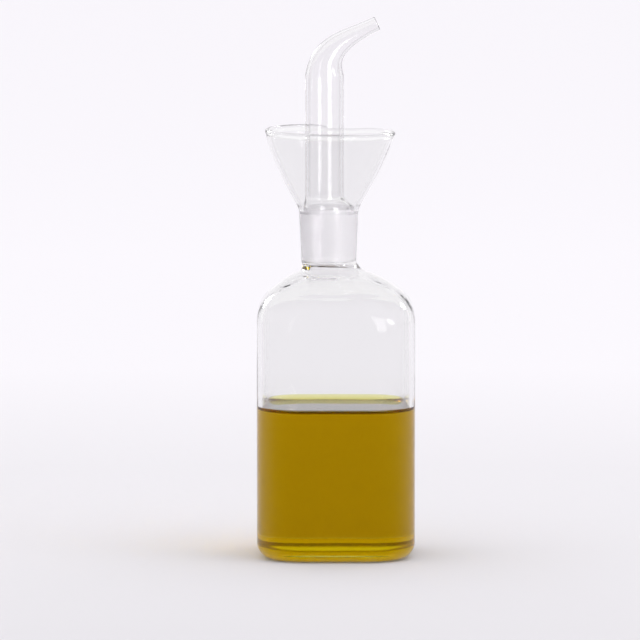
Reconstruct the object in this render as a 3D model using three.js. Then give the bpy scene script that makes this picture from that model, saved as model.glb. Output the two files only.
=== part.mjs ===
// A square glass bottle for olive oil, part filled, with a drip funnel drawn out of its own
// neck and a bent glass pouring spout seated in the ground joint between the two.
// Millimetres, +Z up, origin on the table under the middle of the body. The spout pours
// towards +X, and the bottle's front face looks along -Y.

import * as THREE from "three";

// Bottle body
const BODY_HALF = 36.5; // half the outer width, the same in X and Y
const CORNER_CENTRE = 15; // where the upright corners' arcs have their centres
const BASE_ROUND = 7.5; // radius of the edge between base and walls
const BASE_THICK = 4.4;
const WALL = 2.4;
const INNER_BASE_ROUND = 6.5;

// Shoulder: an arc off the wall, then a dome that flattens towards the neck
const SHOULDER_Z = 109.5;
const SHOULDER_ROUND = 17;
const SHOULDER_TURN = THREE.MathUtils.degToRad(50);
const DOME_TOP_Z = 131.2;
const DOME_TOP_SLOPE = 0.35; // rise over run where the neck's foot begins

// Neck, ground inside to a taper of one in ten, and set a little off the body's middle
const NECK_Z = 136;
const NECK_TOP_Z = 160.8;
const NECK_LOW_RADIUS = 12.7;
const NECK_TOP_RADIUS = 13.8;
const NECK_TAPER = (NECK_TOP_RADIUS - NECK_LOW_RADIUS) / (NECK_TOP_Z - NECK_Z);
const NECK_WALL = 2;
const NECK_FOOT = 3.8; // how far the neck's foot spreads out over the dome
const NECK_OFFSET = -3.3; // X of the neck's axis
const ASIDE_POWER = 4; // how late up the shoulder the sections move over to that axis

// Drip funnel
const FUNNEL_SLOPE = 1.7; // rise over run where it leaves the neck
const FUNNEL_LIP_SLOPE = 4; // and at the lip
const FUNNEL_ROUND = 2.4; // height over which the neck opens into the funnel
const FUNNEL_WALL = 1.7;
const LIP_Z = 196.8;
const LIP_RADIUS = 30.1; // to the outside of the lip's bead
const LIP_BEAD = 1.15; // radius of the fire-polished bead
const LIP_SHIFT = 0.8; // how far the lip is pulled towards +X
const LIP_SHIFT_POWER = 8; // how late up the funnel that pull begins
const LIP_WAVE_POWER = 3; // and how late its unevenness does
const LIP_TILT = 0.02; // how fast the lip falls towards +X
const LIP_DIP = 1.3; // depth of the dip at the back of the lip
const LIP_DIP_AT = THREE.MathUtils.degToRad(77);
const LIP_DIP_WIDTH = THREE.MathUtils.degToRad(20);
const LIP_SWELL = 0.6; // height of the wide swell to the left of the dip
const LIP_SWELL_AT = THREE.MathUtils.degToRad(130);
const LIP_SWELL_WIDTH = THREE.MathUtils.degToRad(55);

// Pouring spout
const JOINT_GAP = 0.3; // clear of the neck's ground wall all round
const PLUG_LOW_Z = 136.2;
const PLUG_TOP_Z = 160.6;
const PLUG_WALL = 2;
const TUBE_RADIUS = 8.9;
const TUBE_WALL = 1.5;
const TUBE_Z = 166.4; // where the plug's shoulder has closed in to the tube
const TUBE_OFFSET = -5.3; // X of the tube's axis
const BEND_Z = 222;
const TIP_X = 18.7;
const TIP_Z = 246.1;
const TIP_RISE = THREE.MathUtils.degToRad(26); // of the spout's last stretch over level
const TIP_RADIUS = 3.5;
const TIP_WALL = 1;
const EDGE_POLISH = 0.6; // rounding of the spout's two ends
const BEND_REACH = 13; // how far the bend keeps its first direction
const TIP_REACH = 17; // and its last one
const NARROWING_POWER = 1.5; // how late along the bend the tube narrows

// Oil
const OIL_GAP = 0.3; // clear of the glass
const OIL_Z = 68.4;
const MENISCUS = 1.1; // how far the oil climbs at the glass
const MENISCUS_STEEP = 0.35; // both as shares of the climb, inwards from the glass
const MENISCUS_REACH = 2.4;

// Points round each section: more of them where the corners turn
const SIDE_STEPS = 4;
const CORNER_STEPS = 8;
const ROUND_STEPS = 24;
const CORNER_START = Math.atan2(CORNER_CENTRE, BODY_HALF);

// Points along the profiles
const CURVE_STEPS = 4;
const SPOUT_SHOULDER_STEPS = 5;
const BEND_STEPS = 12;

const GLASS = { roughness: 0.03, metalness: 0 };
const bottleGlass = new THREE.MeshStandardMaterial({ color: 0xe9eeec, ...GLASS });
const spoutGlass = new THREE.MeshStandardMaterial({ color: 0xf1f2f4, ...GLASS });
const oliveOil = new THREE.MeshStandardMaterial({ color: 0x9c7c00, roughness: 0.05, metalness: 0 });

const { clamp, lerp, smoothstep } = THREE.MathUtils;

// count + 1 numbers from one value to another, without the first if skipFirst
function steps(from, to, count, skipFirst = false) {
  const all = Array.from({ length: count + 1 }, (_, i) => from + ((to - from) * i) / count);
  return skipFirst ? all.slice(1) : all;
}

// Directions round a quarter of the body, used in all four quarters
function bodyDirections() {
  const quarter = [
    ...steps(-CORNER_START, CORNER_START, SIDE_STEPS),
    ...steps(CORNER_START, Math.PI / 2 - CORNER_START, CORNER_STEPS, true).slice(0, -1),
  ];
  return [0, 1, 2, 3].flatMap((turn) => quarter.map((angle) => angle + (turn * Math.PI) / 2));
}

// How far a square with round corners reaches in a direction from its middle
function squareReach(angle, half, cornerCentre) {
  const [far, near] = [Math.abs(Math.cos(angle)), Math.abs(Math.sin(angle))].sort((a, b) => a - b);
  if ((half * far) / near <= cornerCentre) return half / near;
  const round = half - cornerCentre;
  const along = cornerCentre * (near + far);
  return along + Math.sqrt(along ** 2 - 2 * cornerCentre ** 2 + round ** 2);
}

// A closed skin through rings of points. With poles it is capped at both ends, and
// without them the last ring joins the first, as on a tube with a wall.
function skin(rings, poles = null) {
  const around = rings[0].length;
  const points = rings.flat();
  const faces = [];
  const quad = (a, b, c, d) => faces.push(a, b, c, a, c, d);
  const pairs = poles ? rings.length - 1 : rings.length;
  for (let r = 0; r < pairs; r++) {
    const next = (r + 1) % rings.length;
    for (let i = 0; i < around; i++) {
      const j = (i + 1) % around;
      quad(r * around + i, r * around + j, next * around + j, next * around + i);
    }
  }
  if (poles) {
    const [first, last] = poles.map((pole) => points.push(pole) - 1);
    const end = (rings.length - 1) * around;
    for (let i = 0; i < around; i++) {
      const j = (i + 1) % around;
      faces.push(first, j, i, last, end + i, end + j);
    }
  }
  return new THREE.BufferGeometry().setFromPoints(points).setIndex(faces);
}

// Where a height lies between two others, from 0 to 1
const heightShare = (z, low, high) => clamp((z - low) / (high - low), 0, 1);

// X of the bottle's middle at a height: the neck stands to one side, and the lip leans back
function bottleCentre(z) {
  const aside = heightShare(z, SHOULDER_Z, NECK_Z) ** ASIDE_POWER;
  const pulled = heightShare(z, NECK_TOP_Z, LIP_Z) ** LIP_SHIFT_POWER;
  return NECK_OFFSET * aside + LIP_SHIFT * pulled;
}

// How square the section is at a height: the corners close up over the shoulder
function cornerCentre(z) {
  return CORNER_CENTRE * (1 - heightShare(z, SHOULDER_Z, DOME_TOP_Z));
}

// How much of a bump centred on one direction is left in another
function bump(angle, centre, width) {
  const off = Math.atan2(Math.sin(angle - centre), Math.cos(angle - centre));
  return Math.exp(-((off / width) ** 2));
}

// One section of the bottle through a profile point, whose x is the half-width and y the
// height. The lip is uneven.
function bottleRing({ x: half, y: z }) {
  const wave = heightShare(z, NECK_TOP_Z, LIP_Z) ** LIP_WAVE_POWER;
  return bodyDirections().map((angle) => {
    const reach = squareReach(angle, half, cornerCentre(z));
    const x = reach * Math.cos(angle);
    const swell = LIP_SWELL * bump(angle, LIP_SWELL_AT, LIP_SWELL_WIDTH);
    const dip = LIP_DIP * bump(angle, LIP_DIP_AT, LIP_DIP_WIDTH);
    return new THREE.Vector3(
      bottleCentre(z) + x,
      reach * Math.sin(angle),
      z + wave * (swell - dip - LIP_TILT * x),
    );
  });
}

// A curve that leaves one point and reaches the other at the given rises over run
function curveTo(path, to, fromSlope, toSlope) {
  const from = path.currentPoint;
  const x = (to.y - from.y + fromSlope * from.x - toSlope * to.x) / (fromSlope - toSlope);
  path.quadraticCurveTo(x, from.y + fromSlope * (x - from.x), to.x, to.y);
}

// A profile of the glass from the base to just under the lip, in from the outside by the walls
function glassProfile({ baseZ, baseRound, wall, neckWall, funnelWall }) {
  const path = new THREE.Path();
  path.absarc(BODY_HALF - wall - baseRound, baseZ + baseRound, baseRound, -Math.PI / 2, 0);
  path.absarc(BODY_HALF - SHOULDER_ROUND, SHOULDER_Z, SHOULDER_ROUND - wall, 0, SHOULDER_TURN);
  const neckLow = new THREE.Vector2(NECK_LOW_RADIUS - neckWall, NECK_Z);
  const foot = new THREE.Vector2(neckLow.x + NECK_FOOT, DOME_TOP_Z - wall);
  curveTo(path, foot, -1 / Math.tan(SHOULDER_TURN), -DOME_TOP_SLOPE);
  curveTo(path, neckLow, -DOME_TOP_SLOPE, 1 / NECK_TAPER);
  const neckTop = new THREE.Vector2(NECK_TOP_RADIUS - neckWall, NECK_TOP_Z);
  path.lineTo(neckTop.x - NECK_TAPER * FUNNEL_ROUND, neckTop.y - FUNNEL_ROUND);
  const flare = new THREE.Vector2(neckTop.x + FUNNEL_ROUND / FUNNEL_SLOPE, neckTop.y + FUNNEL_ROUND);
  curveTo(path, flare, 1 / NECK_TAPER, FUNNEL_SLOPE);
  const lip = new THREE.Vector2(LIP_RADIUS - LIP_BEAD / 2 - funnelWall, LIP_Z - 2 * LIP_BEAD);
  curveTo(path, lip, FUNNEL_SLOPE, FUNNEL_LIP_SLOPE);
  return path.getPoints(CURVE_STEPS);
}

function bottleGeometry() {
  const outside = glassProfile({
    baseZ: 0,
    baseRound: BASE_ROUND,
    wall: 0,
    neckWall: 0,
    funnelWall: 0,
  });
  const inside = glassProfile({
    baseZ: BASE_THICK,
    baseRound: INNER_BASE_ROUND,
    wall: WALL,
    neckWall: NECK_WALL,
    funnelWall: FUNNEL_WALL,
  });
  const bead = new THREE.Path();
  bead.absarc(LIP_RADIUS - LIP_BEAD, LIP_Z - LIP_BEAD, LIP_BEAD, -Math.PI / 6, (Math.PI * 7) / 6);
  const profile = [...outside, ...bead.getPoints(CURVE_STEPS), ...inside.reverse()];
  const poles = [new THREE.Vector3(0, 0, 0), new THREE.Vector3(0, 0, BASE_THICK)];
  return skin(profile.map(bottleRing), poles);
}

// The oil: the inside of the bottle up to its level, with an edge that climbs the glass
function oilGeometry() {
  const half = BODY_HALF - WALL - OIL_GAP;
  const round = INNER_BASE_ROUND - OIL_GAP;
  const bottom = BASE_THICK + OIL_GAP;
  const path = new THREE.Path();
  path.absarc(half - round, bottom + round, round, -Math.PI / 2, 0);
  path.lineTo(half, OIL_Z + MENISCUS);
  const bend = half - MENISCUS * MENISCUS_STEEP;
  path.quadraticCurveTo(bend, OIL_Z, half - MENISCUS * MENISCUS_REACH, OIL_Z);
  const poles = [new THREE.Vector3(0, 0, bottom), new THREE.Vector3(0, 0, OIL_Z)];
  return skin(path.getPoints(CURVE_STEPS).map(bottleRing), poles);
}

// The middle line of the spout's bend, from the top of the upright tube to the tip
function bendLine() {
  const tip = new THREE.Vector3(TIP_X, 0, TIP_Z);
  const tipWay = new THREE.Vector3(Math.cos(TIP_RISE), 0, Math.sin(TIP_RISE));
  return new THREE.CubicBezierCurve3(
    new THREE.Vector3(TUBE_OFFSET, 0, BEND_Z),
    new THREE.Vector3(TUBE_OFFSET, 0, BEND_Z + BEND_REACH),
    tip.clone().addScaledVector(tipWay, -TIP_REACH),
    tip,
  );
}

// A ring of points round a middle point, square to a direction in the plane Y = 0
function roundRing(middle, along, radius) {
  const side = new THREE.Vector3(0, 1, 0);
  const across = new THREE.Vector3().crossVectors(side, along);
  return steps(0, 2 * Math.PI, ROUND_STEPS, true).map((angle) =>
    middle
      .clone()
      .addScaledVector(across, radius * Math.cos(angle))
      .addScaledVector(side, radius * Math.sin(angle)),
  );
}

// One surface of the spout, outer or inner, as rings from the plug's foot to the tip.
// lowEdge and tipEdge are how much the first and last ring differ from their neighbours.
function spoutSurface({ plugLow, plugTop, tube, tip, lowEdge, tipEdge }) {
  const upright = new THREE.Vector3(0, 0, 1);
  const levelRing = (x, z, radius) => roundRing(new THREE.Vector3(x, 0, z), upright, radius);
  const shoulder = steps(0, 1, SPOUT_SHOULDER_STEPS, true).map((share) => {
    const closed = smoothstep(share, 0, 1);
    const x = lerp(NECK_OFFSET, TUBE_OFFSET, closed);
    return levelRing(x, lerp(PLUG_TOP_Z, TUBE_Z, share), lerp(plugTop, tube, closed));
  });
  const line = bendLine();
  const bendRing = (share, radius, slide = 0) => {
    const along = line.getTangentAt(share);
    return roundRing(line.getPointAt(share).addScaledVector(along, slide), along, radius);
  };
  const narrowed = (share) => lerp(tube, tip, Math.sin((share * Math.PI) / 2) ** NARROWING_POWER);
  const bendShares = steps(0, 1, BEND_STEPS).slice(0, -1);
  return [
    levelRing(NECK_OFFSET, PLUG_LOW_Z, plugLow + lowEdge),
    levelRing(NECK_OFFSET, PLUG_LOW_Z + EDGE_POLISH, plugLow),
    levelRing(NECK_OFFSET, PLUG_TOP_Z, plugTop),
    ...shoulder,
    ...bendShares.map((share) => bendRing(share, narrowed(share))),
    bendRing(1, tip, -EDGE_POLISH),
    bendRing(1, tip + tipEdge),
  ];
}

function spoutGeometry() {
  const plugTop = NECK_TOP_RADIUS - NECK_WALL - JOINT_GAP - NECK_TAPER * (NECK_TOP_Z - PLUG_TOP_Z);
  const plugLow = plugTop - NECK_TAPER * (PLUG_TOP_Z - PLUG_LOW_Z);
  const outside = spoutSurface({
    plugLow,
    plugTop,
    tube: TUBE_RADIUS,
    tip: TIP_RADIUS,
    lowEdge: -EDGE_POLISH,
    tipEdge: -EDGE_POLISH / 2,
  });
  const inside = spoutSurface({
    plugLow: plugLow - PLUG_WALL,
    plugTop: plugTop - PLUG_WALL,
    tube: TUBE_RADIUS - TUBE_WALL,
    tip: TIP_RADIUS - TIP_WALL,
    lowEdge: EDGE_POLISH / 2,
    tipEdge: EDGE_POLISH / 2,
  });
  return skin([...outside, ...inside.reverse()]);
}

function piece(name, geometry, material) {
  const mesh = new THREE.Mesh(geometry, material);
  mesh.name = name;
  return mesh;
}

const dispenser = new THREE.Group();
dispenser.add(
  piece("bottle", bottleGeometry(), bottleGlass),
  piece("pouring_spout", spoutGeometry(), spoutGlass),
  piece("olive_oil", oilGeometry(), oliveOil),
);

export default dispenser;
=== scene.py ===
# %% [markdown]
# # A glass oil dispenser, part filled
# The object is three things: a square bottle blown in clear glass, with its neck drawn out
# into a drip funnel; a bent glass spout that sits in the neck like a stopper; and olive oil.
# Glass shows almost nothing of itself. What the eye reads is its edges, its highlights and
# the way the oil meets the wall, so this lesson spends its effort on true wall thickness,
# smooth sections and those meeting faces.

# %% Load the frame
import math

import bpy
import numpy as np
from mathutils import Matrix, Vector


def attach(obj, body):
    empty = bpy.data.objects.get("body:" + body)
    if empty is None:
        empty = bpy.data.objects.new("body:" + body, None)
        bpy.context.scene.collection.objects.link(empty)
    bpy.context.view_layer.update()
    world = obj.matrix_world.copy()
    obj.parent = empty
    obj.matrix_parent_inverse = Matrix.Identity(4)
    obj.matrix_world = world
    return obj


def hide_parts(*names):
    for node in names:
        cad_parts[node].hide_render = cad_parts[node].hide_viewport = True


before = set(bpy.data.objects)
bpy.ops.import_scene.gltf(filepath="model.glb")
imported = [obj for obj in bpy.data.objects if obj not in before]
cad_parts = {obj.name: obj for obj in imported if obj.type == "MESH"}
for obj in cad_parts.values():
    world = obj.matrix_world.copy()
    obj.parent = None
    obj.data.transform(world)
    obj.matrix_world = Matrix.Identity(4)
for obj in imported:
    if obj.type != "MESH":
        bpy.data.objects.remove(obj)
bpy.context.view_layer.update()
MM = 0.001

# %% [markdown]
# ## Camera
# The photograph is nearly free of perspective, so the camera stands over three metres off
# behind a long lens. It looks down by about six degrees, which opens the lip of the funnel
# and the surface of the oil into thin ovals.

# %% Camera
VIEW_DISTANCE = 3.2375
VIEW_DROP = math.radians(5.8)
LENS = 393.75
aim = Vector((-7.35, 0.0, 108.8)) * MM

camera = bpy.data.objects.new("camera", bpy.data.cameras.new("camera"))
camera.data.lens = LENS
camera.data.sensor_width = 36.0
camera.data.clip_end = 50.0
backwards = Vector((0.0, -math.cos(VIEW_DROP), math.sin(VIEW_DROP)))
camera.location = aim + VIEW_DISTANCE * backwards
camera.rotation_euler = backwards.to_track_quat("Z", "Y").to_euler()
bpy.context.scene.collection.objects.link(camera)
bpy.context.scene.camera = camera
print("camera at", [round(v, 3) for v in camera.location])

# %% [markdown]
# ## Sections
# A square bottle with round corners could be a cube with bevels and a subdivision surface,
# but its wall has to be just as thick all over and its neck truly round. So every piece here
# is a stack of rings instead, each ring one cut through the real thing. A polar formula gives
# the square ring, and as its corner arcs' centres move to the middle it becomes the round one.

# %% Ring directions
SIDE_POINTS = 14
CORNER_POINTS = 18
BODY_HALF = 36.5
CORNER_CENTRE = 15.0

corner_start = math.atan2(CORNER_CENTRE, BODY_HALF)
quarter = np.concatenate([
    np.linspace(-corner_start, corner_start, SIDE_POINTS, endpoint=False),
    np.linspace(corner_start, math.pi / 2 - corner_start, CORNER_POINTS, endpoint=False),
])
directions = np.concatenate([quarter + turn * math.pi / 2 for turn in range(4)])
print(len(directions), "points round the bottle")


# %% How far a square with round corners reaches
def square_reach(half, corner_centre):
    """Distance from the middle of a rounded square to its edge, in every direction."""
    near = np.maximum(abs(np.cos(directions)), abs(np.sin(directions)))
    far = np.minimum(abs(np.cos(directions)), abs(np.sin(directions)))
    along = corner_centre * (near + far)
    inside = along**2 - 2 * corner_centre**2 + (half - corner_centre) ** 2
    on_arc = along + np.sqrt(np.maximum(inside, 0.0))
    return np.where(half * far / near <= corner_centre, half / near, on_arc)


# %% Profiles: arcs, and curves between two slopes
def arc(half, z, radius, start, end, count):
    """Points on an arc in the plane of half-width and height. Angles are in degrees."""
    angle = np.radians(np.linspace(start, end, count))
    return np.column_stack([half + radius * np.cos(angle), z + radius * np.sin(angle)])


def curve(start, start_slope, end, end_slope, count):
    """A quadratic curve that leaves start and reaches end at the given rises over run."""
    start, end = np.array(start, float), np.array(end, float)
    rise = end[1] - start[1] + start_slope * start[0] - end_slope * end[0]
    bend = rise / (start_slope - end_slope)
    middle = np.array([bend, start[1] + start_slope * (bend - start[0])])
    t = np.linspace(0, 1, count)[:, None]
    return (1 - t) ** 2 * start + 2 * t * (1 - t) * middle + t**2 * end


# %% From rings to a closed mesh
def skin(name, rings, poles=None):
    """A smooth closed mesh through rings of points in millimetres.

    With poles both ends are capped, and without them the last ring joins the first. The
    faces come in bands, ring by ring, and then the first and the last cap.
    """
    rings = np.asarray(rings)
    rows, around = rings.shape[:2]
    points = rings.reshape(-1, 3)
    step = (np.arange(around) + 1) % around
    faces = []
    for row in range(rows - 1 if poles is not None else rows):
        low, high = row * around, (row + 1) % rows * around
        faces += [(low + i, low + j, high + j, high + i) for i, j in enumerate(step)]
    if poles is not None:
        first, last = len(points), len(points) + 1
        points = np.vstack([points, poles])
        top = (rows - 1) * around
        faces += [(first, j, i) for i, j in enumerate(step)]
        faces += [(last, top + i, top + j) for i, j in enumerate(step)]
    mesh = bpy.data.meshes.new(name)
    mesh.from_pydata((points * MM).tolist(), [], faces)
    mesh.shade_smooth()
    piece = bpy.data.objects.new(name, mesh)
    bpy.context.scene.collection.objects.link(piece)
    print(name, len(points), "points,", len(faces), "faces")
    return piece


# %% [markdown]
# ## The bottle
# On the real thing the body is blown in a square mould, the neck is a tube fused on a little
# to one side, and the funnel is that tube opened out over a flame. The fire rounds its lip
# and leaves it slightly uneven. One profile runs up the outside, over the lip and down the
# inside, so the glass has its true thickness everywhere, which is what bends the light.

# %% Heights and walls of the bottle
BASE_ROUND, BASE_THICK, INNER_BASE_ROUND = 7.5, 4.4, 6.5
WALL, NECK_WALL, FUNNEL_WALL = 2.4, 2.0, 1.7
SHOULDER_Z, SHOULDER_ROUND, SHOULDER_TURN = 109.5, 17.0, 50.0
DOME_TOP_Z, DOME_TOP_SLOPE = 131.2, 0.35
NECK_Z, NECK_TOP_Z = 136.0, 160.8
NECK_LOW_RADIUS, NECK_TOP_RADIUS = 12.7, 13.8
NECK_FOOT, NECK_OFFSET = 3.8, -3.3
FUNNEL_SLOPE, FUNNEL_LIP_SLOPE, FUNNEL_ROUND = 1.7, 4.0, 2.4
LIP_Z, LIP_RADIUS, LIP_BEAD = 196.8, 30.1, 1.15
LIP_SHIFT, LIP_SWELL, LIP_DIP, LIP_TILT = 0.8, 0.6, 1.3, 0.02
SWELL_AT, SWELL_WIDTH, DIP_AT, DIP_WIDTH = 130, 55, 77, 20
SIDE_MARGIN = 3.0
taper = (NECK_TOP_RADIUS - NECK_LOW_RADIUS) / (NECK_TOP_Z - NECK_Z)
print("the neck widens by", round(taper, 3), "mm in each mm of height")

# %% [markdown]
# The oil's edge decides where the wall is wet. Oil creeps up glass along the capillary curve,
# the shape that weight and surface tension settle on. Its size is one length, 1.89 mm for
# olive oil, and it starts out from the wall at a slope of about 74 degrees. The bottle's
# profile gets a ring at just that height.

# %% How high the oil climbs
OIL_Z = 68.3
CAPILLARY, EDGE_SLOPE = 1.89, math.radians(74)
contact_z = OIL_Z + 2 * CAPILLARY * math.sin(EDGE_SLOPE / 2)
print("the oil meets the wall at", round(contact_z, 2), "mm")


# %% One profile of the glass
def glass_profile(base_z, base_round, wall, neck_wall, funnel_wall):
    """Half-widths and heights of the glass from the base to just under the lip."""
    base = arc(BODY_HALF - wall - base_round, base_z + base_round, base_round, -90, 0, 14)
    wet = np.linspace(base[-1][1] + SIDE_MARGIN, contact_z, 12)
    dry = np.linspace(contact_z, SHOULDER_Z - SIDE_MARGIN, 8)[1:]
    side = [[BODY_HALF - wall, z] for z in [*wet, *dry]]
    round_ = arc(BODY_HALF - SHOULDER_ROUND, SHOULDER_Z, SHOULDER_ROUND - wall, 0, SHOULDER_TURN, 18)
    foot = [NECK_LOW_RADIUS - neck_wall + NECK_FOOT, DOME_TOP_Z - wall]
    dome = curve(round_[-1], -1 / math.tan(math.radians(SHOULDER_TURN)), foot, -DOME_TOP_SLOPE, 14)
    neck_low = [NECK_LOW_RADIUS - neck_wall, NECK_Z]
    collar = curve(foot, -DOME_TOP_SLOPE, neck_low, 1 / taper, 12)
    top = NECK_TOP_RADIUS - neck_wall
    neck_high = [top - taper * FUNNEL_ROUND, NECK_TOP_Z - FUNNEL_ROUND]
    neck = np.linspace(neck_low, neck_high, 12)
    flare_end = [top + FUNNEL_ROUND / FUNNEL_SLOPE, NECK_TOP_Z + FUNNEL_ROUND]
    flare = curve(neck_high, 1 / taper, flare_end, FUNNEL_SLOPE, 8)
    lip = [LIP_RADIUS - LIP_BEAD / 2 - funnel_wall, LIP_Z - 2 * LIP_BEAD]
    funnel = curve(flare_end, FUNNEL_SLOPE, lip, FUNNEL_LIP_SLOPE, 22)
    return np.vstack([
        base, side, round_, dome[1:], collar[1:], neck[1:], flare[1:], funnel[1:],
    ])


outside = glass_profile(0.0, BASE_ROUND, 0.0, 0.0, 0.0)
inside = glass_profile(BASE_THICK, INNER_BASE_ROUND, WALL, NECK_WALL, FUNNEL_WALL)
bead = arc(LIP_RADIUS - LIP_BEAD, LIP_Z - LIP_BEAD, LIP_BEAD, -30, 210, 14)
bottle_profile = [*outside, *bead, *inside[::-1]]
print("profile of", len(bottle_profile), "rings")


# %% Where each ring's middle is, how square it is, and how the lip waves
def share(z, low, high):
    """Where a height lies between two others, from 0 to 1."""
    return min(max((z - low) / (high - low), 0.0), 1.0)


def bump(centre, width):
    """A smooth bump round one direction, both in degrees."""
    off = directions - math.radians(centre)
    off = np.arctan2(np.sin(off), np.cos(off))
    return np.exp(-((off / math.radians(width)) ** 2))


def bottle_ring(half, z):
    """One cut through the bottle at a profile point."""
    reach = square_reach(half, CORNER_CENTRE * (1 - share(z, SHOULDER_Z, DOME_TOP_Z)))
    x, y = reach * np.cos(directions), reach * np.sin(directions)
    neck_shift = NECK_OFFSET * share(z, SHOULDER_Z, NECK_Z) ** 4
    centre = neck_shift + LIP_SHIFT * share(z, NECK_TOP_Z, LIP_Z) ** 8
    swell, dip = bump(SWELL_AT, SWELL_WIDTH), bump(DIP_AT, DIP_WIDTH)
    wave = LIP_SWELL * swell - LIP_DIP * dip - LIP_TILT * x
    return np.column_stack([centre + x, y, z + wave * share(z, NECK_TOP_Z, LIP_Z) ** 3])


# %% Skin the bottle
bottle_rings = [bottle_ring(*point) for point in bottle_profile]
bottle = skin("bottle_glass", bottle_rings, [[0, 0, 0], [0, 0, BASE_THICK]])


# %% [markdown]
# Oil and glass bend light almost alike, so the wall nearly vanishes where the two touch. The
# same goes for the ground joint: the plug sits so tight in the neck that no air is left between
# them, and its matt face seems to fill the neck from side to side. The faces that touch are
# marked here, and the materials read the mark further on.

# %% Mark the faces that touch
def mark_touching(piece, bands):
    """Set the face value "touching" to 1 on the given bands of a skinned piece."""
    around = len(directions)
    values = np.zeros(len(piece.data.polygons))
    for band in bands:
        values[band * around:(band + 1) * around] = 1
    piece.data.attributes.new("touching", "FLOAT", "FACE").data.foreach_set("value", values)
    print(piece.name, int(values.sum()), "faces touch, of", len(values))


HAIR = 0.01
JOINT_TOP_Z = NECK_TOP_Z - 2.0
last_cap = len(bottle_profile)
inner_bands = range(len(outside) + len(bead), last_cap - 1)
heights = [point[1] for point in bottle_profile]
wet_bands = [band for band in inner_bands if heights[band] < contact_z + HAIR]
joint_bands = [
    band for band in inner_bands
    if heights[band + 1] > NECK_Z - HAIR and heights[band] < JOINT_TOP_Z
]
mark_touching(bottle, [*wet_bands, *joint_bands, last_cap])

# %% [markdown]
# ## The spout
# The spout is one glass tube. Its lower end is ground to a matt cone that fits the neck, and
# its upper end is drawn out thin over the flame and bent, so the oil leaves in a fine stream.
# A curve with a bevel would make the tube, but not its wall, its cone and its changing width,
# so this too is rings: outside up to the tip, over its end, and back down the bore. The cone
# reaches a tenth of a millimetre into the neck's wall, so that no film of air is left.

# %% Sizes of the spout
PLUG_LOW_Z, PLUG_TOP_Z, TUBE_Z, BEND_Z = 136.2, 160.6, 166.4, 222.0
PLUG_WALL, TUBE_RADIUS, TUBE_WALL, TUBE_OFFSET = 2.0, 8.9, 1.5, -5.3
TIP_X, TIP_Z, TIP_RISE, TIP_RADIUS, TIP_WALL = 18.7, 246.1, math.radians(26), 3.2, 1.0
BEND_REACH, TIP_REACH, NARROWING_POWER = 13.0, 17.0, 1.1
INTO_NECK = 0.1
POLISH = 0.6
BEND_RINGS, FINE_STEPS = 60, 400

tip_way = np.array([math.cos(TIP_RISE), math.sin(TIP_RISE)])
bend_points = np.array([
    [TUBE_OFFSET, BEND_Z],
    [TUBE_OFFSET, BEND_Z + BEND_REACH],
    np.array([TIP_X, TIP_Z]) - TIP_REACH * tip_way,
    [TIP_X, TIP_Z],
])
print("tip rises at", round(math.degrees(TIP_RISE)), "degrees")


# %% The spout's middle line
def bend_line():
    """Places and directions along the bend, evenly spaced, as (x, z) pairs."""
    t = np.linspace(0, 1, FINE_STEPS)[:, None]
    a, b, c, d = bend_points
    place = (1 - t) ** 3 * a + 3 * t * (1 - t) ** 2 * b + 3 * t**2 * (1 - t) * c + t**3 * d
    run = np.concatenate([[0], np.cumsum(np.linalg.norm(np.diff(place, axis=0), axis=1))])
    even = np.linspace(0, run[-1], BEND_RINGS)
    spot = np.column_stack([np.interp(even, run, place[:, k]) for k in (0, 1)])
    way = np.gradient(spot, axis=0)
    return spot, way / np.linalg.norm(way, axis=1)[:, None]


def round_ring(x, z, way, radius, points=96):
    """A ring round (x, z), square to the direction way in the plane y = 0."""
    turn = np.linspace(0, 2 * math.pi, points, endpoint=False)
    across = radius * np.cos(turn)
    return np.column_stack([x + way[1] * across, radius * np.sin(turn), z - way[0] * across])


# %% One surface of the spout, outer or inner
def spout_surface(plug_low, plug_top, tube, tip, low_edge, tip_edge):
    """Rings from the plug's foot up to the tip."""
    up = np.array([0.0, 1.0])
    rings = [
        round_ring(NECK_OFFSET, PLUG_LOW_Z, up, plug_low + low_edge),
        round_ring(NECK_OFFSET, PLUG_LOW_Z + POLISH * 0.3, up, plug_low + low_edge * 0.3),
    ]
    for s in np.linspace(0, 1, 16):
        z = PLUG_LOW_Z + POLISH + s * (PLUG_TOP_Z - PLUG_LOW_Z - POLISH)
        rings.append(round_ring(NECK_OFFSET, z, up, plug_low + s * (plug_top - plug_low)))
    for s in np.linspace(0, 1, 15)[1:]:
        closed = s * s * (3 - 2 * s)
        x = NECK_OFFSET + closed * (TUBE_OFFSET - NECK_OFFSET)
        z = PLUG_TOP_Z + s * (TUBE_Z - PLUG_TOP_Z)
        rings.append(round_ring(x, z, up, plug_top + closed * (tube - plug_top)))
    for z in np.linspace(TUBE_Z, BEND_Z, 16)[1:-1]:
        rings.append(round_ring(TUBE_OFFSET, z, up, tube))
    spots, ways = bend_line()
    for s, spot, way in zip(np.linspace(0, 1, BEND_RINGS), spots, ways):
        narrowed = math.sin(s * math.pi / 2) ** NARROWING_POWER
        rings.append(round_ring(*spot, way, tube + narrowed * (tip - tube)))
    for out, edge in ((0.4, 0.3), (0.6, 1.0)):
        end = spots[-1] + ways[-1] * POLISH * out
        rings.append(round_ring(*end, ways[-1], tip + tip_edge * edge))
    return rings


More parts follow.
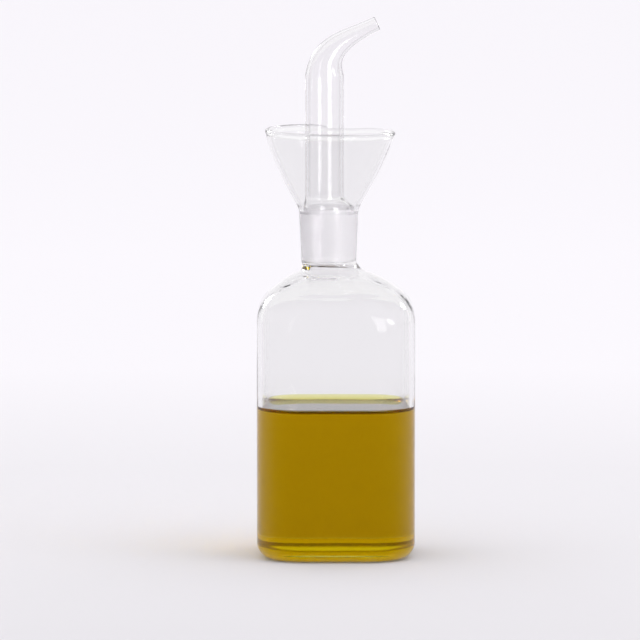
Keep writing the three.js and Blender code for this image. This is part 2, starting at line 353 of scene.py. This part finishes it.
# %% Skin the spout
plug_top = NECK_TOP_RADIUS - NECK_WALL + INTO_NECK
plug_low = plug_top - taper * (PLUG_TOP_Z - PLUG_LOW_Z)
spout_outside = spout_surface(plug_low, plug_top, TUBE_RADIUS, TIP_RADIUS, -POLISH, -POLISH / 2)
spout_inside = spout_surface(
    plug_low - PLUG_WALL,
    plug_top - PLUG_WALL,
    TUBE_RADIUS - TUBE_WALL,
    TIP_RADIUS - TIP_WALL,
    POLISH / 2,
    POLISH / 2,
)
spout = skin("spout_glass", [*spout_outside, *spout_inside[::-1]])

# %% [markdown]
# ## The oil
# Oil wets glass, so there is no air between the two. The oil reaches just into the glass: two
# skins at the same place would fight, and a gap would shine like a mirror. Its edge follows
# the capillary curve down from the wall. That small curve matters, because it draws the dark
# line at the front of the surface and the pale yellow strip at the back.

# %% Profile of the oil
INTO_WALL = 0.15
LEVEL_SLOPE = math.radians(0.4)
CLIMB_REACH, INNERMOST = 12.0, 2.0
oil_half = BODY_HALF - WALL + INTO_WALL
oil_round = INNER_BASE_ROUND + INTO_WALL
oil_low = BASE_THICK - INTO_WALL
oil_foot = arc(oil_half - oil_round, oil_low + oil_round, oil_round, -90, 0, 14)
oil_heights = [*np.linspace(oil_foot[-1][1] + SIDE_MARGIN, OIL_Z, 14), contact_z]
oil_side = [[oil_half, z] for z in oil_heights]

slope = np.geomspace(EDGE_SLOPE, LEVEL_SLOPE, 34)
rise = 2 * CAPILLARY * np.sin(slope / 2)
run = CAPILLARY * (np.log(1 / np.tan(slope / 4)) - 2 * np.cos(slope / 2))
climb = np.column_stack([oil_half - INTO_WALL - run + run[0], OIL_Z + rise])
surface = [[half, OIL_Z] for half in np.linspace(oil_half - CLIMB_REACH, INNERMOST, 10)]
print("oil climbs", round(rise[0], 2), "mm and levels out", round(run[-1] - run[0], 1), "mm in")


# %% Skin the oil
def oil_ring(half, z):
    """A cut through the oil, whose corners get rounder towards the middle of the surface."""
    reach = square_reach(half, min(CORNER_CENTRE, half / 2))
    x, y = reach * np.cos(directions), reach * np.sin(directions)
    return np.column_stack([x, y, np.full(len(x), z)])


oil_rings = [oil_ring(*point) for point in [*oil_foot, *oil_side, *climb, *surface]]
oil = skin("olive_oil_fill", oil_rings, [[0, 0, oil_low], [0, 0, OIL_Z]])
wall_bands = len(oil_foot) + len(oil_side)
mark_touching(oil, [*range(wall_bands), len(oil_rings) - 1])

# %% [markdown]
# ## Glass
# Clear glass is a smooth surface that lets light in and bends it by its index. Blown glass
# is never quite even, so a very weak, wide bump makes what is seen through it swim a little.
# A faint volume takes out some light along the way, so rays that run a long way inside the
# wall come out grey, and that draws the bottle's edges. The studio here is bright all round and
# would lay a pale veil of reflections over everything, so a dark specular tint turns them down.

# %% How strongly glass and oil bend light
GLASS_INDEX = 1.5
OIL_INDEX = 1.467
print("index where glass touches oil:", round(GLASS_INDEX / OIL_INDEX, 3))


# %% An empty material
def new_material(name):
    """A material with an empty node tree, its shader and its output."""
    material = bpy.data.materials.new(name)
    material.use_nodes = True
    tree = material.node_tree
    tree.nodes.clear()
    shader = tree.nodes.new("ShaderNodeBsdfPrincipled")
    output = tree.nodes.new("ShaderNodeOutputMaterial")
    tree.links.new(shader.outputs["BSDF"], output.inputs["Surface"])
    return material, tree, shader, output


# %% Clear and smooth
def make_clear(shader, colour, index, shine):
    """Smooth and see-through. A shine below 1 turns its reflections down, most of all face on."""
    shader.inputs["Base Color"].default_value = (*colour, 1)
    shader.inputs["Roughness"].default_value = 0.0
    shader.inputs["IOR"].default_value = index
    shader.inputs["Transmission Weight"].default_value = 1.0
    shader.inputs["Specular Tint"].default_value = (shine, shine, shine, 1)


# %% Uneven like blown glass
def add_ripple(tree, shader, scale, strength, height):
    """Weak unevenness: noise in object space, as a bump on the shader."""
    place = tree.nodes.new("ShaderNodeTexCoord")
    noise = tree.nodes.new("ShaderNodeTexNoise")
    noise.inputs["Scale"].default_value = scale
    noise.inputs["Detail"].default_value = 1.0
    ripple = tree.nodes.new("ShaderNodeBump")
    ripple.inputs["Strength"].default_value = strength
    ripple.inputs["Distance"].default_value = height
    tree.links.new(place.outputs["Object"], noise.inputs["Vector"])
    tree.links.new(noise.outputs["Fac"], ripple.inputs["Height"])
    tree.links.new(ripple.outputs["Normal"], shader.inputs["Normal"])
    return noise


# %% One index in air, another where faces touch
def index_by_touch(tree, shader, free, touching):
    """Let the face value "touching" choose between two indices."""
    mark = tree.nodes.new("ShaderNodeAttribute")
    mark.attribute_name = "touching"
    index = tree.nodes.new("ShaderNodeMapRange")
    index.inputs["To Min"].default_value = free
    index.inputs["To Max"].default_value = touching
    tree.links.new(mark.outputs["Fac"], index.inputs["Value"])
    tree.links.new(index.outputs["Result"], shader.inputs["IOR"])


# %% Colour in the depth
def add_depth(tree, output, colour, density):
    """A volume that takes out light along its way, more of what its colour lacks."""
    depth = tree.nodes.new("ShaderNodeVolumeAbsorption")
    depth.inputs["Color"].default_value = (*colour, 1)
    depth.inputs["Density"].default_value = density
    tree.links.new(depth.outputs["Volume"], output.inputs["Volume"])


# %% Clear glass of the bottle
clear_glass, tree, shader, output = new_material("clear_glass")
make_clear(shader, (0.94, 0.941, 0.938), GLASS_INDEX, shine=0.1)
index_by_touch(tree, shader, GLASS_INDEX, GLASS_INDEX / OIL_INDEX)
add_ripple(tree, shader, scale=45.0, strength=0.35, height=0.0004)
add_depth(tree, output, (0.3, 0.305, 0.3), 6.0)
print(clear_glass.name, "has", len(tree.nodes), "nodes")

# %% [markdown]
# The spout's glass is the same, but part of its skin is ground, and a volume needs one finish
# all round. So its edges get painted shade instead: the shader greys the colour the more a face
# slants away, standing in for the light lost on the longer way through the tube's wall behind it.

# %% Clear glass of the spout
FACE_ON_COLOUR, PAINTED_RIM_SHADE = (0.95, 0.947, 0.95), (0.45, 0.45, 0.45)
spout_clear, tree, shader, output = new_material("spout_clear")
make_clear(shader, FACE_ON_COLOUR, GLASS_INDEX, shine=0.3)
add_ripple(tree, shader, scale=45.0, strength=0.35, height=0.0004)
# Painted shade: the base colour turns grey where the face slants away from the view.
slant = tree.nodes.new("ShaderNodeLayerWeight")
slant.inputs["Blend"].default_value = 0.5
painted_rim = tree.nodes.new("ShaderNodeValToRGB")
for element, position, colour in zip(
    painted_rim.color_ramp.elements, (0.45, 0.9), (FACE_ON_COLOUR, PAINTED_RIM_SHADE)
):
    element.position = position
    element.color = (*colour, 1)
tree.links.new(slant.outputs["Facing"], painted_rim.inputs["Fac"])
tree.links.new(painted_rim.outputs["Color"], shader.inputs["Base Color"])
print(spout_clear.name, "has", len(tree.nodes), "nodes")

# %% [markdown]
# The plug's ground face is the same glass, roughened by grit. Most of the light gets through
# but goes all ways, and the rest is thrown back nearly white. The faint lavender in its colour
# is painted light, the studio's tint as the photograph shows it there. Fine noise in the roughness
# makes it powdery.

# %% Ground glass
ground_glass, tree, shader, output = new_material("ground_glass")
# Painted light: the faint lavender in this colour is the studio's tint, not the glass's own.
shader.inputs["Base Color"].default_value = (0.99, 0.97, 1.0, 1)
shader.inputs["IOR"].default_value = GLASS_INDEX
shader.inputs["Transmission Weight"].default_value = 0.75
grain = add_ripple(tree, shader, scale=2600.0, strength=0.06, height=0.0001)
powder = tree.nodes.new("ShaderNodeMapRange")
powder.inputs["To Min"].default_value = 0.15
powder.inputs["To Max"].default_value = 0.3
tree.links.new(grain.outputs["Fac"], powder.inputs["Value"])
tree.links.new(powder.outputs["Result"], shader.inputs["Roughness"])

# %% [markdown]
# The plug's bore and its shoulder, above the ground band, are smooth. The ground face beside
# them spreads the light, which hides dark edges, so this glass has no grey of its own: a white
# colour lets all the light through.

# %% Clear glass of the plug's bore and shoulder
bore_glass, tree, shader, output = new_material("bore_glass")
make_clear(shader, (1.0, 1.0, 1.0), GLASS_INDEX, shine=1.0)

# %% [markdown]
# Oil is clear too. Its colour is not on its surface but in its depth: the further light goes
# through it, the more blue and then green it loses. A volume that absorbs does this, so thin
# edges come out yellow and the thick middle a golden olive.

# %% Olive oil
olive_oil, tree, shader, output = new_material("olive_oil")
ALMOST_NONE = 1.0005
make_clear(shader, (1.0, 0.985, 0.6), OIL_INDEX, shine=0.1)
index_by_touch(tree, shader, OIL_INDEX, ALMOST_NONE)
add_ripple(tree, shader, scale=18.0, strength=0.1, height=0.0003)
add_depth(tree, output, (0.951, 0.92, 0.0), 250.0)

# %% [markdown]
# The bottle and the oil have one material each. The spout has three, given face by face:
# below the tube, what lies outside the bore is ground up to the shoulder, and the rest is the
# smooth glass without grey.

# %% Put the materials on
MARGIN = 0.5
TUBE_GLASS, GROUND, SMOOTH = range(3)
for piece, materials in (
    (bottle, [clear_glass]), (spout, [spout_clear, ground_glass, bore_glass]), (oil, [olive_oil]),
):
    for material in materials:
        piece.data.materials.append(material)
counts = [0, 0, 0]
for face in spout.data.polygons:
    x, y, z = face.center / MM
    outside_bore = math.hypot(x - NECK_OFFSET, y) > plug_low - MARGIN
    if z > TUBE_Z:
        face.material_index = TUBE_GLASS
    elif outside_bore and z < PLUG_TOP_Z + MARGIN:
        face.material_index = GROUND
    else:
        face.material_index = SMOOTH
    counts[face.material_index] += 1
print("faces of the spout, by material:", counts)

# %% [markdown]
# ## Fixing the pieces to the frame
# Each piece rides on the part's one body and stands for the plain solid it replaces.

# %% Ride and replace
for piece, node, finish in (
    (bottle, "bottle", "bottle_glass"),
    (spout, "pouring_spout", "spout_glass"),
    (oil, "olive_oil", "olive_oil"),
):
    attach(piece, "root")
    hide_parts(node)

# %% [markdown]
# ## Floor and light
# The bottle stands on a white sweep. The camera looks down on it, so the paper is also all
# the background there is, and it runs far behind. Painted shade makes the paper a little greyer
# in front and brightest well behind the bottle, as in the photograph.

# %% Floor
FLOOR_REACH, FLOOR_DROP = 30.0, 0.0002
SHADE_MIDDLE, SHADE_REACH = (0.0, -0.5, 0.0), 2.0
PAPER_TINT = (1.0, 0.988, 1.012)
bpy.ops.mesh.primitive_plane_add(size=2 * FLOOR_REACH, location=(0, 0, -FLOOR_DROP))
floor = bpy.context.object
floor.name = "floor"
paper, tree, shader, output = new_material("white_paper")
shader.inputs["Roughness"].default_value = 0.9
shader.inputs["Specular IOR Level"].default_value = 0.1
place = tree.nodes.new("ShaderNodeTexCoord")
away = tree.nodes.new("ShaderNodeVectorMath")
away.operation = "DISTANCE"
away.inputs[1].default_value = SHADE_MIDDLE
reach = tree.nodes.new("ShaderNodeMapRange")
reach.inputs["From Max"].default_value = SHADE_REACH
# Painted shade: the paper's colour darkens towards a spot in front of the bottle.
painted_shade = tree.nodes.new("ShaderNodeValToRGB")
stops = {0.05: 0.705, 0.25: 0.79, 0.42: 0.81, 0.65: 0.905, 1.0: 0.93}
while len(painted_shade.color_ramp.elements) < len(stops):
    painted_shade.color_ramp.elements.new(0.5)
for element, (position, shade) in zip(painted_shade.color_ramp.elements, stops.items()):
    element.position = position
    element.color = (*(shade * part for part in PAPER_TINT), 1)
tree.links.new(place.outputs["Object"], away.inputs[0])
tree.links.new(away.outputs["Value"], reach.inputs["Value"])
tree.links.new(reach.outputs["Result"], painted_shade.inputs["Fac"])
tree.links.new(painted_shade.outputs["Color"], shader.inputs["Base Color"])
floor.data.materials.append(paper)
print("paper reaches", FLOOR_REACH, "m each way")

# %% [markdown]
# Bright air all round keeps the glass clean from every side. Light that goes through several
# walls is bent many times, and if the renderer gives up early those spots turn black, so the
# bounce limits are raised.

# %% World light
WALLS_DEEP = 48
world = bpy.data.worlds.new("studio")
world.use_nodes = True
sky = world.node_tree.nodes["Background"]
sky.inputs["Color"].default_value = (1.0, 0.985, 1.01, 1)
sky.inputs["Strength"].default_value = 1.02
bpy.context.scene.world = world
bpy.context.scene.view_settings.view_transform = "Standard"
bpy.context.scene.cycles.max_bounces = WALLS_DEEP
bpy.context.scene.cycles.glossy_bounces = 32
bpy.context.scene.cycles.transmission_bounces = WALLS_DEEP
print("light may bend", WALLS_DEEP, "times")

# %% [markdown]
# The highlights tell where the real soft boxes stood: a narrow and a wide one in front draw
# the two streaks on the tube, one at the right and two behind the bottle make the spots on
# its shoulder. Only the key light falls on the paper, so the others add shine and no shadow.

# %% Soft boxes
LAMP_AIM = Vector((0, 0, 0.12))


def soft_box(name, place, size, power, on_paper=False, through=False):
    """A rectangular light that looks at the bottle. Most only show as highlights."""
    light = bpy.data.lights.new(name, "AREA")
    light.shape = "RECTANGLE"
    light.size, light.size_y = size
    light.energy = power
    lamp = bpy.data.objects.new(name, light)
    lamp.location = place
    away = Vector(place) - LAMP_AIM
    lamp.rotation_euler = away.to_track_quat("Z", "Y").to_euler()
    lamp.visible_camera = False
    lamp.visible_diffuse = on_paper
    lamp.visible_transmission = through
    bpy.context.scene.collection.objects.link(lamp)
    print(name, "is", round(away.length, 2), "m away")


soft_box("box_left", (-0.6, -0.9, 0.4), (0.22, 0.8), 2.4, through=True)
soft_box("box_right", (0.6, -0.9, 0.4), (0.5, 0.8), 15.0, through=True)
soft_box("side_right", (1.09, -0.53, 0.71), (0.35, 0.35), 16.0)
soft_box("back_left", (-0.76, 1.25, 0.66), (0.3, 0.3), 4.0)
soft_box("back_right", (0.99, 0.94, 0.85), (0.22, 0.22), 3.0)
soft_box("key", (0.9, -0.6, 1.5), (1.2, 1.2), 4.0, on_paper=True)
